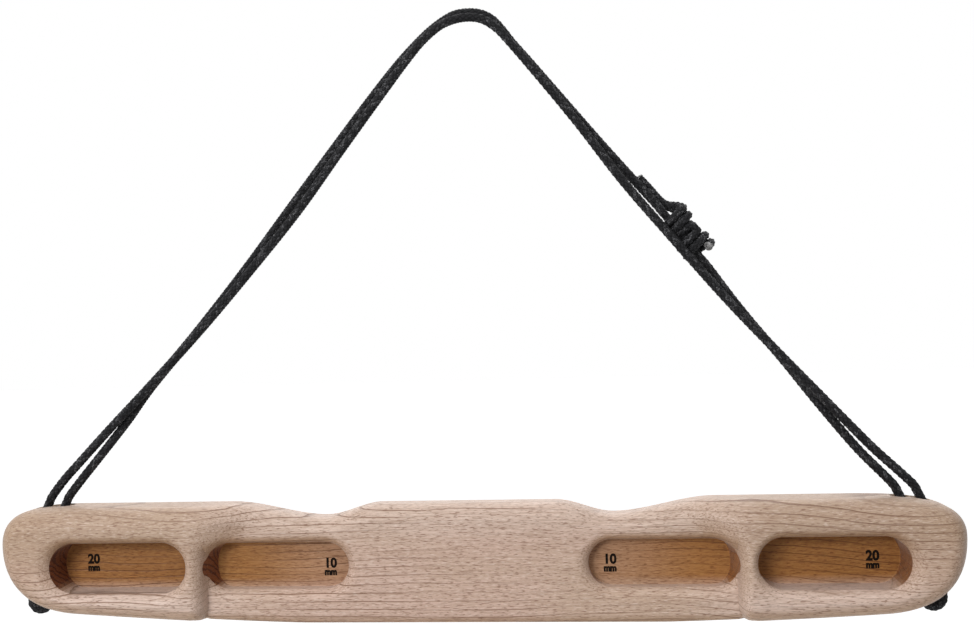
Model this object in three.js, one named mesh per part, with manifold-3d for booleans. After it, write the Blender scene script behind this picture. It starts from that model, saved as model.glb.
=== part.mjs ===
// A portable hangboard: one milled beech board with four finger pockets, hung from a loop of braided cord.
// Units are millimetres. +Z is up, +X is to the right and the pockets face -Y.
// The origin is the hang point, under the bend of the cord, where a hook or a bar carries it.
import * as THREE from 'three';
import { mergeVertices } from 'three/addons/utils/BufferGeometryUtils.js';
import Module from 'manifold-3d';

const wasm = await Module();
wasm.setup();

// Board: outline. Heights are measured from the line through the middle of the pockets.
const half_length = 250;
const tip_height = 12.5;
const crown_height = 30.2;
const crown_half = 46;
const dip_height = 23.7;
const dip_at = 76;
const hump_height = 31.2;
const hump_at = 128;
const shoulder_inset = 54;
const corner_reach = 22.5;
const corner_rise = 15.5;
const belly_drop = 31.1;
const belly_half = 85;
const sweep_inset = 40;
const sweep_rise = 6.3;
const sweep_power = 1.3;
const heel_drop = 22.5;
const heel_inset = 7;
const heel_reach = 14.5;

// Board: thickness, the step between the outer blocks and the middle, and the rounded edges
const block_thickness = 36;
const step_depth = 10;
const step_width = 7.2;
const step_tuck = 4;
const tuck_from = 20;
const tuck_height = 10;
const rail_blend_width = 38;
const rail_height = 24;
const top_round_outer = 12;
const top_round_middle = 8;
const top_depth_outer = 12;
const top_depth_middle = 9;
const bottom_round_outer = 9;
const bottom_round_middle = 5;
const bottom_depth_outer = 10;
const bottom_depth_middle = 5;
const end_round = 10;
const end_depth = 15.5;
const back_round = 9;
const back_depth = 9;
const back_end_depth = 14.5;

// Finger pockets
const pocket_half_height = 13.2;
const inner_half_height = 12.2;
const inner_lowered = 1;
const outer_pocket_length = 74.5;
const inner_pocket_length = 75.8;
const outer_pocket_inset = 28.6;
const post_to_step = 2.4;
const step_to_pocket = 6.3;
const pocket_floor = 20;
const rim_top = 4.5;
const rim_bottom = 7;
const rim_end = 8;
const rim_post = 3.9;
const rim_middle = 6;
const rim_step = 1;
const rim_drop = 4;
const rim_turn_deg = 60;
const end_draft = 2;
const step_draft = 3.4;
const floor_fillet = 0.8;

// Cord holes: two through each end, leaning outwards on their way down
const hole_diameter = 5.9;
const hole_lean_deg = 10;
const hole_inset = 28.5;
const hole_spacing = 9.7;
const hole_depth = 22;
const hole_flare = 1.8;
const hole_top = 29.2;
const inner_hole_foot = 20;
const outer_hole_foot = 13.5;

// Cord: one loop over the hang point, closed by a knot
const cord_diameter = 4.7;
const seam_gap = 0.3;
const seam_height = 31;
const seam_lean_deg = 25;
const turn_drop = 21.5;
const hang_drop = 281.6;
const board_offset = -8.9;

// Knot: two cord ends, each wound round the other
const knot_cord_diameter = 4.1;
const knot_at = [106.9, 5.3, -115.8];
const knot_slope_deg = 52.6;
const wrap_half_width = 7.1;
const wrap_half_depth = 5;
const wrap_shift = 2.2;
const wrap_pitch = 4.65;
const wrap_turns = 1.875;
const wrap_facing_deg = 45;
const cross_length = 3.6;
const cross_apart = 4.8;
const cross_rest = 3.4;
const knot_entry = 16;
const short_tail = [[8.4, -2.6, 12], [6.6, -5, 12.4]];
const long_tail = [
  [7.6, 2.9, -13.2], [5.2, 4.1, -16.4], [3.4, 4.1, -20], [2.8, 3.9, -24], [2.6, 3.4, -30], [2, 2.9, -38.4],
];

// Routes are given for holes at this distance from the middle, and spread with them
const route_span = 221.5;

// Front strand: from the left outer hole over the hang point to the right outer hole
const front_route = [
  [-228.8, -0.5, -236.7], [-221, -0.8, -228.7], [-205.1, -1.7, -212.7], [-196.9, -2.2, -204.7],
  [-180.7, -2.6, -188.9], [-150.4, -2.6, -158.1], [-121.6, -2.6, -126.5], [-94.7, -2.6, -95.5],
  [-71, -2.6, -64.7], [-47.1, -2.5, -34.1], [-35, -2.4, -18.9], [-26.2, -2.3, -8.9],
  [-17.6, -2.2, -1.9], [-12.7, -2.2, 0.5], [-6.4, -2.2, 2.1], [0, -2.2, 2.35], [5.2, -2.2, 1.3],
  [9.3, -2.2, -0.8], [14.2, -2.3, -4.7], [18.5, -2.4, -9.6], [28.6, -2.5, -22.1],
  [53.6, -2.6, -54.5], [76.6, -2.8, -86.5], [101.9, -3, -117.9], [128.3, -2.8, -149.8],
  [156.4, -2.6, -181.1], [170.8, -2.3, -196.7], [185, -1.7, -212.1], [199.6, -1, -227.6],
  [212.4, -0.4, -239.8],
];

// Back strand: from the left inner hole over the hang point to the knot, and from the right inner hole to it
const back_route_upper = [
  [-219.5, 0.5, -236.9], [-212.8, 0.8, -229], [-199.5, 1.7, -213.1], [-193, 2.2, -205.1],
  [-181, 2.6, -189.2], [-152.9, 2.6, -157.5], [-126.4, 2.6, -126.1], [-101.5, 2.6, -94.8],
  [-76.7, 2.6, -63.8], [-51.5, 2.5, -32.9], [-38.2, 2.4, -17.7], [-26.9, 2.3, -6.6],
  [-20.9, 2.3, -1.6], [-13.3, 2.2, 3.3], [-8.5, 2.2, 5.3], [-0.5, 2.2, 5.9], [5.8, 2.2, 4.6],
  [11, 2.3, 1.5], [15.1, 2.4, -3], [20.7, 2.5, -10.6], [29.3, 2.5, -21], [55.8, 2.6, -53.7],
  [69.1, 2.9, -69.9], [80.5, 3.9, -83.3],
];
const back_route_lower = [
  [191.9, 0.9, -227.7], [179.6, 1.7, -212.4], [167.7, 2.4, -196.9], [156.1, 2.6, -181.3],
  [140.3, 3.4, -161.4], [130.9, 4.4, -148.7],
];

// Mesh steps
const strand_sides = 8;
const knot_sides = 6;
const front_steps = 80;
const back_upper_steps = 54;
const back_lower_steps = 22;
const turn_steps = 46;
const knot_steps = 80;
const overrun = 2;
const weld = 0.0005;

// Places that follow from the sizes above, measured from the middle of the board
const shoulder_at = half_length - shoulder_inset;
const sweep_at = half_length - sweep_inset;
const outer_pocket_to = half_length - outer_pocket_inset;
const outer_pocket_from = outer_pocket_to - outer_pocket_length;
const step_at = outer_pocket_from - post_to_step;
const inner_pocket_to = step_at - step_to_pocket;
const inner_pocket_from = inner_pocket_to - inner_pocket_length;
const inner_hole_at = half_length - hole_inset;
const spread = inner_hole_at / route_span;

const V2 = (x, z) => new THREE.Vector2(x, z);
const V3 = (x, y, z) => new THREE.Vector3(x, y, z);
const clamp01 = (t) => Math.min(1, Math.max(0, t));
const mix = (a, b, t) => a + (b - a) * t;
const smooth = (t) => clamp01(t) ** 2 * (3 - 2 * clamp01(t));
const between = (x, from, to) => (x - from) / (to - from);

// A closed surface from a list of corner points and a list of faces, welded and without empty faces
function closedGeometry(points, faces) {
  const geometry = new THREE.BufferGeometry();
  geometry.setAttribute('position', new THREE.Float32BufferAttribute(points.flatMap((p) => [p.x, p.y, p.z]), 3));
  geometry.setIndex(faces.flat());
  const welded = mergeVertices(geometry, weld);
  const index = [...welded.index.array];
  const kept = [];
  for (let i = 0; i < index.length; i += 3) {
    const [a, b, c] = [index[i], index[i + 1], index[i + 2]];
    if (a !== b && b !== c && c !== a) kept.push(a, b, c);
  }
  welded.setIndex(kept);
  return welded;
}

// Rings of points, each closed in itself, joined into a closed body with fans at both ends
function ringBody(rings) {
  const count = rings[0].length;
  const points = rings.flat();
  const faces = [];
  for (let r = 0; r + 1 < rings.length; r += 1) {
    for (let i = 0; i < count; i += 1) {
      const a = r * count + i;
      const b = r * count + ((i + 1) % count);
      faces.push([b, a, a + count], [b, a + count, b + count]);
    }
  }
  for (const [ring, flip] of [[0, false], [rings.length - 1, true]]) {
    const centre = rings[ring].reduce((sum, p) => sum.add(p), V3(0, 0, 0)).divideScalar(count);
    points.push(centre);
    const hub = points.length - 1;
    for (let i = 0; i < count; i += 1) {
      const a = ring * count + i;
      const b = ring * count + ((i + 1) % count);
      faces.push(flip ? [b, a, hub] : [a, b, hub]);
    }
  }
  return closedGeometry(points, faces);
}

function toSolid(geometry) {
  const bare = geometry.clone();
  bare.deleteAttribute('normal');
  bare.deleteAttribute('uv');
  const merged = mergeVertices(bare, weld);
  const mesh = new wasm.Mesh({
    numProp: 3,
    vertProperties: new Float32Array(merged.attributes.position.array),
    triVerts: new Uint32Array(merged.index.array),
  });
  return new wasm.Manifold(mesh);
}

function toGeometry(solid) {
  const mesh = solid.getMesh();
  const geometry = new THREE.BufferGeometry();
  geometry.setAttribute('position', new THREE.Float32BufferAttribute(mesh.vertProperties, 3));
  geometry.setIndex([...mesh.triVerts]);
  geometry.computeVertexNormals();
  return geometry;
}

// Height of the top edge at a distance from the middle: crown, dip and outer hump
function topEdge(u) {
  if (u <= dip_at) return mix(crown_height, dip_height, smooth(between(u, crown_half, dip_at)));
  return mix(dip_height, hump_height, smooth(between(u, dip_at, hump_at)));
}

// Height of the bottom edge: flat under the middle, rising towards the ends
function bottomEdge(u) {
  return sweep_rise * clamp01(between(u, belly_half, sweep_at)) ** sweep_power - belly_drop;
}

const tip = V2(half_length, tip_height);
const cornerCurve = new THREE.CubicBezierCurve(
  V2(shoulder_at, hump_height),
  V2(half_length - corner_reach, hump_height),
  V2(half_length, tip_height + corner_rise),
  tip,
);
const heelCurve = new THREE.CubicBezierCurve(
  V2(sweep_at, bottomEdge(sweep_at)),
  V2(half_length - heel_inset, -heel_drop),
  V2(half_length, tip_height - heel_reach),
  tip,
);

// One station of the outline: a top point and a bottom point, each with its outward normal
function station(u, share) {
  if (share === 0) {
    const span = step_width / 2;
    const slopeTop = (topEdge(u + span) - topEdge(u - span)) / (2 * span);
    const slopeBottom = (bottomEdge(u + span) - bottomEdge(u - span)) / (2 * span);
    return {
      top: V2(u, topEdge(u)),
      topOut: V2(-slopeTop, 1).normalize(),
      bottom: V2(u, bottomEdge(u)),
      bottomOut: V2(slopeBottom, -1).normalize(),
      end: 0,
    };
  }
  const heel_share = 0.16;
  const along = clamp01(between(share, heel_share, 1));
  const turn = (t) => V2(-t.y, t.x);
  const early = share < heel_share;
  const foot = mix(shoulder_at, sweep_at, share / heel_share);
  const bottom = early ? V2(foot, bottomEdge(foot)) : heelCurve.getPoint(along);
  const heading = early ? heelCurve.getTangent(0) : heelCurve.getTangent(along);
  const closed = share === 1;
  return {
    top: closed ? tip : cornerCurve.getPoint(share),
    topOut: closed ? V2(1, 0) : turn(cornerCurve.getTangent(share)),
    bottom: closed ? tip : bottom,
    bottomOut: closed ? V2(1, 0) : turn(heading).negate(),
    end: share,
  };
}

// Depth of the front face: flush on the outer blocks, stepped back in the middle.
// Below the pockets the step is a rounded shoulder, above them a long soft slope.
function frontDepth(u, w) {
  const tuck = step_tuck * clamp01((-w - tuck_from) / tuck_height) ** 2;
  const shoulder = clamp01((step_at + tuck - u) / step_width);
  const stepped = 1 - Math.sqrt(1 - shoulder ** 2);
  const width = mix(step_width, rail_blend_width, clamp01(w / rail_height));
  const blended = smooth((step_at - u) / width);
  return step_depth * mix(stepped, blended, smooth(between(w, 0, pocket_half_height)));
}

// One closed loop of the board's surface at a station, from the top edge round to the top edge again
function boardLoop(x_sign, spot) {
  const round_steps = 5;
  const front_rows = 9;
  const loop = [];
  const middle = 1 - smooth(between(spot.top.x, dip_at, step_at));
  const tipness = smooth(spot.end);
  const topIn = mix(mix(top_round_outer, top_round_middle, middle), end_round, tipness);
  const topDeep = mix(mix(top_depth_outer, top_depth_middle, middle), end_depth, tipness);
  const low = 1 - clamp01((spot.bottom.x - step_at + step_width) / step_width);
  const lowIn = mix(mix(bottom_round_outer, bottom_round_middle, low), end_round, tipness);
  const lowDeep = mix(mix(bottom_depth_outer, bottom_depth_middle, low), end_depth, tipness);
  const backDeep = mix(back_depth, back_end_depth, tipness);
  const add = (p, y) => loop.push(V3(x_sign * p.x, y, p.y));
  const edge = (point, out, inset) => point.clone().addScaledVector(out, -inset);
  for (let i = 0; i <= round_steps; i += 1) {
    const turn = (Math.PI / 2) * (1 - i / round_steps);
    const p = edge(spot.top, spot.topOut, topIn * (1 - Math.sin(turn)));
    add(p, frontDepth(p.x, p.y) + topDeep * (1 - Math.cos(turn)));
  }
  const from = edge(spot.top, spot.topOut, topIn);
  const to = edge(spot.bottom, spot.bottomOut, lowIn);
  for (let i = 1; i < front_rows; i += 1) {
    const p = from.clone().lerp(to, i / front_rows);
    add(p, frontDepth(p.x, p.y));
  }
  for (let i = 0; i <= round_steps; i += 1) {
    const turn = (Math.PI / 2) * (i / round_steps);
    const p = edge(spot.bottom, spot.bottomOut, lowIn * (1 - Math.sin(turn)));
    add(p, frontDepth(p.x, p.y) + lowDeep * (1 - Math.cos(turn)));
  }
  const back_steps = 4;
  for (let i = back_steps; i >= 0; i -= 1) {
    const turn = (Math.PI / 2) * (i / back_steps);
    const p = edge(spot.bottom, spot.bottomOut, back_round * (1 - Math.sin(turn)));
    add(p, block_thickness - backDeep * (1 - Math.cos(turn)));
  }
  for (let i = 0; i <= back_steps; i += 1) {
    const turn = (Math.PI / 2) * (i / back_steps);
    const p = edge(spot.top, spot.topOut, back_round * (1 - Math.sin(turn)));
    add(p, block_thickness - backDeep * (1 - Math.cos(turn)));
  }
  return loop;
}

// The board's outer skin: loops from one tip to the other, welded where they close at the tips
function boardBlank() {
  const spots = [];
  const stretch = (from, to, steps) => {
    for (let i = 0; i < steps; i += 1) spots.push([mix(from, to, i / steps), 0]);
  };
  stretch(0, crown_half, 3);
  stretch(crown_half, dip_at, 6);
  stretch(dip_at, hump_at, 8);
  stretch(hump_at, step_at - step_width, 3);
  const step_columns = 5;
  for (let i = step_columns; i > 0; i -= 1) {
    spots.push([step_at - step_width * Math.sin((Math.PI / 2) * (i / step_columns)), 0]);
  }
  stretch(step_at, step_at + step_tuck, 2);
  stretch(step_at + step_tuck, shoulder_at, 4);
  const end_columns = 15;
  const crowding = 1.2;
  for (let i = 0; i <= end_columns; i += 1) {
    const share = Math.sin((Math.PI / 2) * (i / end_columns)) ** crowding;
    spots.push([shoulder_at, i === 0 ? 0 : share]);
  }
  const right = spots.map(([u, share]) => boardLoop(1, station(u, share)));
  const left = spots.slice(1).map(([u, share]) => boardLoop(-1, station(u, share)));
  const loops = [...left.reverse(), ...right];
  const count = loops[0].length;
  const points = loops.flat();
  const faces = [];
  for (let r = 0; r + 1 < loops.length; r += 1) {
    for (let i = 0; i < count; i += 1) {
      const a = r * count + i;
      const b = r * count + ((i + 1) % count);
      faces.push([a, b, b + count], [a, b + count, a + count]);
    }
  }
  return closedGeometry(points, faces);
}

// A pocket cutter: a stadium that flares over the rim, ends in a crisp edge, and drops to a flat floor.
// The wall at the far end leans in by the draft on its way down.
function pocketCutter({ from, to, radius, lowered, rimFrom, rimTo, draft }) {
  const end_steps = 9;
  const side_steps = 6;
  const outline = [];
  const addEnd = (centre, start) => {
    for (let i = 0; i < end_steps; i += 1) {
      const turn = start + Math.PI * (i / end_steps);
      const out = V2(Math.cos(turn), Math.sin(turn));
      outline.push({ base: V2(centre, -lowered).addScaledVector(out, radius), out });
    }
  };
  const addSide = (a, b, way) => {
    for (let i = 0; i < side_steps; i += 1) {
      outline.push({ base: V2(mix(a, b, i / side_steps), way * radius - lowered), out: V2(0, way) });
    }
  };
  addEnd(to - radius, -Math.PI / 2);
  addSide(to - radius, from + radius, 1);
  addEnd(from + radius, Math.PI / 2);
  addSide(from + radius, to - radius, -1);
  const rimOf = (out) => {
    const endRim = out.x > 0 ? rimTo : rimFrom;
    const sideRim = out.y > 0 ? rim_top : rim_bottom;
    return mix(sideRim, endRim, out.x ** 2);
  };
  const place = (spot, offset, y) => {
    const p = spot.base.clone().addScaledVector(spot.out, offset);
    return V3(p.x, y, p.y);
  };
  const rimTurn = THREE.MathUtils.degToRad(rim_turn_deg);
  const rimPoint = (spot, share) => {
    const rim = rimOf(spot.out);
    const offset = rim * (1 - Math.sin(rimTurn * share) / Math.sin(rimTurn));
    const p = spot.base.clone().addScaledVector(spot.out, offset);
    const drop = Math.min(rim, rim_drop) * ((1 - Math.cos(rimTurn * share)) / (1 - Math.cos(rimTurn)));
    return place(spot, offset, frontDepth(p.x, p.y) + drop);
  };
  const rings = [];
  rings.push(outline.map((spot) => {
    const rim = rimOf(spot.out);
    return place(spot, rim, -overrun);
  }));
  const rim_steps = 4;
  for (let i = 0; i <= rim_steps; i += 1) {
    rings.push(outline.map((spot) => rimPoint(spot, i / rim_steps)));
  }
  const fillet_steps = 2;
  for (let i = 0; i <= fillet_steps; i += 1) {
    const turn = (Math.PI / 2) * (i / fillet_steps);
    rings.push(outline.map((spot) => place(
      spot,
      -floor_fillet * (1 - Math.cos(turn)) - draft * Math.max(0, spot.out.x) ** 2,
      pocket_floor - floor_fillet * (1 - Math.sin(turn)),
    )));
  }
  return ringBody(rings);
}

// The centre line of a cord hole, leaning outwards from its mouth in the top edge
const lean = THREE.MathUtils.degToRad(hole_lean_deg);
const holeDown = V3(Math.sin(lean), 0, -Math.cos(lean));
const holeAcross = V3(Math.cos(lean), 0, Math.sin(lean));
const innerMouth = V3(inner_hole_at, hole_depth, hole_top);
const outerMouth = V3(inner_hole_at + hole_spacing, hole_depth, hole_top);
const onHole = (mouth, height) => mouth.clone().addScaledVector(holeDown, (mouth.z - height) / Math.cos(lean));

// A cord hole's cutter: a straight bore whose two mouths open in a soft flare
function holeCutter(mouth, foot) {
  const radius = hole_diameter / 2;
  const flare = hole_flare * 2;
  const length = (mouth.z + foot) / Math.cos(lean);
  const profile = [
    V2(0, -flare),
    V2(radius + flare, -flare),
    V2(radius + hole_flare, 0),
    V2(radius + hole_flare / 4, hole_flare),
    V2(radius, flare),
    V2(radius, length - flare),
    V2(radius + hole_flare / 4, length - hole_flare),
    V2(radius + hole_flare, length),
    V2(radius + flare, length + flare),
    V2(0, length + flare),
  ];
  const bore_sides = 14;
  const bore = new THREE.LatheGeometry(profile, bore_sides);
  bore.rotateX(Math.PI / 2);
  bore.applyQuaternion(new THREE.Quaternion().setFromUnitVectors(V3(0, 0, 1), holeDown));
  bore.translate(mouth.x, mouth.y, mouth.z);
  return bore;
}

function boardGeometry() {
  const right = [
    pocketCutter({
      from: outer_pocket_from,
      to: outer_pocket_to,
      radius: pocket_half_height,
      lowered: 0,
      rimFrom: rim_post,
      rimTo: rim_end,
      draft: end_draft,
    }),
    pocketCutter({
      from: inner_pocket_from,
      to: inner_pocket_to,
      radius: inner_half_height,
      lowered: inner_lowered,
      rimFrom: rim_middle,
      rimTo: rim_step,
      draft: step_draft,
    }),
    holeCutter(innerMouth, inner_hole_foot),
    holeCutter(outerMouth, outer_hole_foot),
  ];
  let body = toSolid(boardBlank());
  const mirror = new THREE.Matrix4().makeScale(-1, 1, 1);
  for (const cutter of right) {
    const solid = toSolid(cutter);
    body = body.subtract(solid);
    body = body.subtract(solid.transform(mirror.elements));
  }
  return toGeometry(body);
}

// A cord along a route of points, closed at both ends
function cordAlong(points, diameter, sides, steps) {
  const route = new THREE.CatmullRomCurve3(points, false, 'centripetal');
  const corners = [];
  for (let i = 0; i < sides; i += 1) {
    const turn = (2 * Math.PI * i) / sides;
    corners.push(V2((diameter / 2) * Math.cos(turn), (diameter / 2) * Math.sin(turn)));
  }
  const settings = { steps, bevelEnabled: false, extrudePath: route };
  return new THREE.ExtrudeGeometry(new THREE.Shape(corners), settings);
}

// Where a strand meets its turn: the cord leans towards the middle of the board as it leaves the hole
const seamLean = THREE.MathUtils.degToRad(seam_lean_deg);
const seamUp = V3(-Math.sin(seamLean), 0, Math.cos(seamLean));
const knee_height = seam_height - cord_diameter * Math.cos(seamLean);
const kneeOf = (mouth) => onHole(mouth, knee_height);
const seamOf = (mouth) => kneeOf(mouth).addScaledVector(seamUp, cord_diameter);

// The turn under the right end: down the inner hole, round, and up the outer hole
function turnPoints() {
  const bend = (hole_spacing * Math.cos(lean)) / 2;
  const foot = onHole(innerMouth, -turn_drop);
  const centre = foot.clone().addScaledVector(holeAcross, bend);
  const down = [seamOf(innerMouth), seamOf(innerMouth).lerp(kneeOf(innerMouth), 0.5), kneeOf(innerMouth)];
  down.push(onHole(innerMouth, cord_diameter * 2), onHole(innerMouth, 0), onHole(innerMouth, bend - turn_drop));
  const round = [];
  const bend_steps = 6;
  for (let i = 0; i <= bend_steps; i += 1) {
    const turn = Math.PI * (i / bend_steps);
    const spot = centre.clone().addScaledVector(holeAcross, -bend * Math.cos(turn));
    round.push(spot.addScaledVector(holeDown, bend * Math.sin(turn)));
  }
  const across = holeAcross.clone().multiplyScalar(2 * bend);
  const rise = V3(hole_spacing, 0, 0);
  const up = [onHole(innerMouth, bend - turn_drop).add(across)];
  up.push(onHole(outerMouth, 0), onHole(outerMouth, cord_diameter * 2));
  up.push(kneeOf(outerMouth), seamOf(innerMouth).lerp(kneeOf(innerMouth), 0.5).add(rise), seamOf(outerMouth));
  return [...down, ...round, ...up];
}

const toBoard = V3(board_offset, -hole_depth, -hang_drop);
const flip = (p) => V3(-p.x, p.y, p.z);

// The start of a strand: one cord diameter straight out of the seam
function strandStart(mouth, left) {
  const start = seamOf(mouth).addScaledVector(seamUp, seam_gap);
  const middle = start.clone().addScaledVector(seamUp, cord_diameter / 2);
  const points = [start, middle, middle.clone().addScaledVector(seamUp, cord_diameter / 2)];
  return points.map((p) => (left ? flip(p) : p).add(toBoard));
}

// The knot's own frame: along its axis, outwards in the plane of the loop, and back
const slope = THREE.MathUtils.degToRad(knot_slope_deg);
const knotAlong = V3(Math.cos(slope), 0, -Math.sin(slope));
const knotOut = V3(Math.sin(slope), 0, Math.cos(slope));
const onRoute = ([x, y, z]) => V3(x * spread, y, z);
const knotCentre = onRoute(knot_at);
const inKnot = (out, back, along) => knotCentre.clone()
  .addScaledVector(knotOut, out)
  .add(V3(0, back, 0))
  .addScaledVector(knotAlong, along);

// One half of the knot: along the axis through the other half's wraps, out to one side before the middle,
// past the middle on that side, then wound in ovals round the other cord.
// way is 1 for the half that winds downwards and -1 for the other.
function knotHalf(way) {
  const from = (-way * (cross_apart + cross_length)) / 2;
  const out = from + way * cross_length;
  const to = out + way * cross_rest;
  const facing = way * THREE.MathUtils.degToRad(wrap_facing_deg);
  const spot = (share, turn, along) => inKnot(
    share * (wrap_shift + wrap_half_width * Math.cos(turn)),
    -share * wrap_half_depth * Math.sin(turn),
    along,
  );
  const points = [];
  const core_steps = 6;
  for (let i = 0; i <= core_steps; i += 1) {
    points.push(spot(0, 0, mix(-way * knot_entry, from, i / core_steps)));
  }
  const cross_steps = 4;
  for (let i = 1; i <= cross_steps; i += 1) {
    const share = i / cross_steps;
    points.push(spot(smooth(share), facing, mix(from, out, share)));
  }
  points.push(spot(1, facing, mix(out, to, 0.5)));
  const wrap_steps = 27;
  for (let i = 0; i <= wrap_steps; i += 1) {
    const turned = (wrap_turns * i) / wrap_steps;
    points.push(spot(1, facing + way * 2 * Math.PI * turned, to + way * wrap_pitch * turned));
  }
  return points;
}

// The half that ends in a short tail towards the front, and the half that ends in a long tail beside the back strand
const lowerHalf = () => [...knotHalf(1), ...short_tail.map((p) => inKnot(...p))];
const upperHalf = () => [...knotHalf(-1), ...long_tail.map((p) => inKnot(...p))];

// Least gap of a cord to itself, measured on points of its centre line further apart than three diameters
function selfGap(points, diameter) {
  const route = new THREE.CatmullRomCurve3(points, false, 'centripetal');
  const length = route.getLength();
  const count = Math.round(length);
  const spots = route.getSpacedPoints(count);
  let least = length;
  for (let i = 0; i < spots.length; i += 1) {
    for (let k = i + 1; k < spots.length; k += 1) {
      const apart = ((k - i) * length) / count;
      if (apart > 3 * diameter) least = Math.min(least, spots[i].distanceTo(spots[k]));
    }
  }
  return least - diameter;
}

function colour(hex, roughness) {
  return new THREE.MeshStandardMaterial({ color: hex, roughness, metalness: 0 });
}

const hangboard = new THREE.Group();
function addPart(name, geometry, material) {
  const mesh = new THREE.Mesh(geometry, material);
  mesh.name = name;
  hangboard.add(mesh);
}

const routes = {
  right_cord_turn: turnPoints().map((p) => p.add(toBoard)),
  left_cord_turn: turnPoints().map((p) => flip(p).add(toBoard)),
  front_strand: [
    ...strandStart(outerMouth, true),
    ...front_route.map(onRoute),
    ...strandStart(outerMouth, false).reverse(),
  ],
  back_strand_upper: [
    ...strandStart(innerMouth, true),
    ...back_route_upper.map(onRoute),
    inKnot(0, 0, -knot_entry - seam_gap - cord_diameter),
    inKnot(0, 0, -knot_entry - seam_gap),
  ],
  back_strand_lower: [
    ...strandStart(innerMouth, false),
    ...back_route_lower.map(onRoute),
    inKnot(0, 0, knot_entry + seam_gap + cord_diameter),
    inKnot(0, 0, knot_entry + seam_gap),
  ],
  knot_lower_half: lowerHalf(),
  knot_upper_half: upperHalf(),
};
const steps = {
  right_cord_turn: turn_steps,
  left_cord_turn: turn_steps,
  front_strand: front_steps,
  back_strand_upper: back_upper_steps,
  back_strand_lower: back_lower_steps,
  knot_lower_half: knot_steps,
  knot_upper_half: knot_steps,
};

const board = boardGeometry();
board.translate(toBoard.x, toBoard.y, toBoard.z);
addPart('board', board, colour(0xdcbb9a, 0.6));
for (const [name, points] of Object.entries(routes)) {
  const inKnotPart = name.startsWith('knot');
  const diameter = inKnotPart ? knot_cord_diameter : cord_diameter;
  const sides = inKnotPart ? knot_sides : strand_sides;
  addPart(name, cordAlong(points, diameter, sides, steps[name]), colour(0x2b2b2e, 0.85));
  console.log(name, 'least gap to itself', selfGap(points, diameter).toFixed(2));
}

export default hangboard;
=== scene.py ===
# %% [markdown]
# # A hangboard on a loop of cord
# The real object is one milled beech board with four finger pockets, hung from one loop of braided cord
# that is closed by a knot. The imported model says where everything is, and this script gives it its looks.
# It could be drawn afresh by eye, but then cord and board would drift away from the solid model, so each
# shape here repeats that model's numbers. Tables are in millimetres, and MM turns them into metres.

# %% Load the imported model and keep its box
import math
import bmesh
import bpy
import numpy as np
from mathutils import Matrix, Vector


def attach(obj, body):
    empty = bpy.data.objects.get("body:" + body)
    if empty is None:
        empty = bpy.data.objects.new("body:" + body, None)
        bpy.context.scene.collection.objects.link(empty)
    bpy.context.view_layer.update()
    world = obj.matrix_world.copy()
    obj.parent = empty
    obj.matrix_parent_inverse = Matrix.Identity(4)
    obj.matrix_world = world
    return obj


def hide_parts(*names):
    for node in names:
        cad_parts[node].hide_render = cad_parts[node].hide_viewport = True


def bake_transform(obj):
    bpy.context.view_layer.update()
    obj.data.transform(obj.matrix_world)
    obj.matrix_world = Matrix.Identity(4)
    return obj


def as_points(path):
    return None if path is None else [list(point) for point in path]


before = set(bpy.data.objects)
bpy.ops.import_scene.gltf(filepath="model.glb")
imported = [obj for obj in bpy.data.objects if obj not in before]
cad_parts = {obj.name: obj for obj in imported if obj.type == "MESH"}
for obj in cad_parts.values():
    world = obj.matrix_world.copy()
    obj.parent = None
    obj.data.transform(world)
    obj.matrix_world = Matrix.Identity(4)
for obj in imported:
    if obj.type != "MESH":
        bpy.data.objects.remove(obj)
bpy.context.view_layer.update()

MM = 0.001
print("CAD nodes:", sorted(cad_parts))

# %% [markdown]
# ## Camera
# The photograph was taken from a little above the board's middle, slightly turned and rolled. A camera could
# be placed by eye. Here its place, its three angles and its lens come from a fit to the board's outline,
# because only then can each edge be compared pixel by pixel.

# %% Camera
PICTURE_WIDTH, FOCAL_LENGTH, SENSOR_WIDTH = 974, 1200, 36
CAMERA_PLACE, CAMERA_ANGLES = (0.0682, -0.6258, -0.1605), (90.555, 1.572, 5.867)


def add_object(name, data):
    """A new object with this data, in the scene."""
    thing = bpy.data.objects.new(name, data)
    bpy.context.collection.objects.link(thing)
    return thing


camera_data = bpy.data.cameras.new("camera")
camera_data.sensor_width = SENSOR_WIDTH
camera_data.lens = SENSOR_WIDTH * FOCAL_LENGTH / PICTURE_WIDTH
camera = add_object("camera", camera_data)
camera.location = CAMERA_PLACE
camera.rotation_euler = [math.radians(angle) for angle in CAMERA_ANGLES]
bpy.context.scene.camera = camera
print("camera at", CAMERA_PLACE, "with a lens of", round(camera_data.lens, 2), "mm")

# %% [markdown]
# ## Small helpers for nodes
# Wood and cord both need node trees of some size. They could be clicked together in the editor, but a script
# must name every socket. These helpers keep that short: `wire` puts a number or a link into a socket, `calc`
# adds a Math node, `times` a product, and the others a colour mix, a range, a noise, a bump or a surface.

# %% Node helpers
BUMP_DEPTH = 0.2


def wire(tree, value, socket):
    if isinstance(value, bpy.types.NodeSocket):
        tree.links.new(value, socket)
    else:
        socket.default_value = value


def calc(tree, operation, *values):
    node = tree.nodes.new("ShaderNodeMath")
    node.operation = operation
    for value, socket in zip(values, node.inputs):
        wire(tree, value, socket)
    return node.outputs[0]


def times(tree, one, other):
    return calc(tree, "MULTIPLY", one, other)


def blend_colour(tree, factor, low, high, mode="MIX"):
    node = tree.nodes.new("ShaderNodeMix")
    node.data_type = "RGBA"
    node.blend_type = mode
    wire(tree, factor, node.inputs[0])
    wire(tree, low, node.inputs[6])
    wire(tree, high, node.inputs[7])
    return node.outputs[2]


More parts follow.
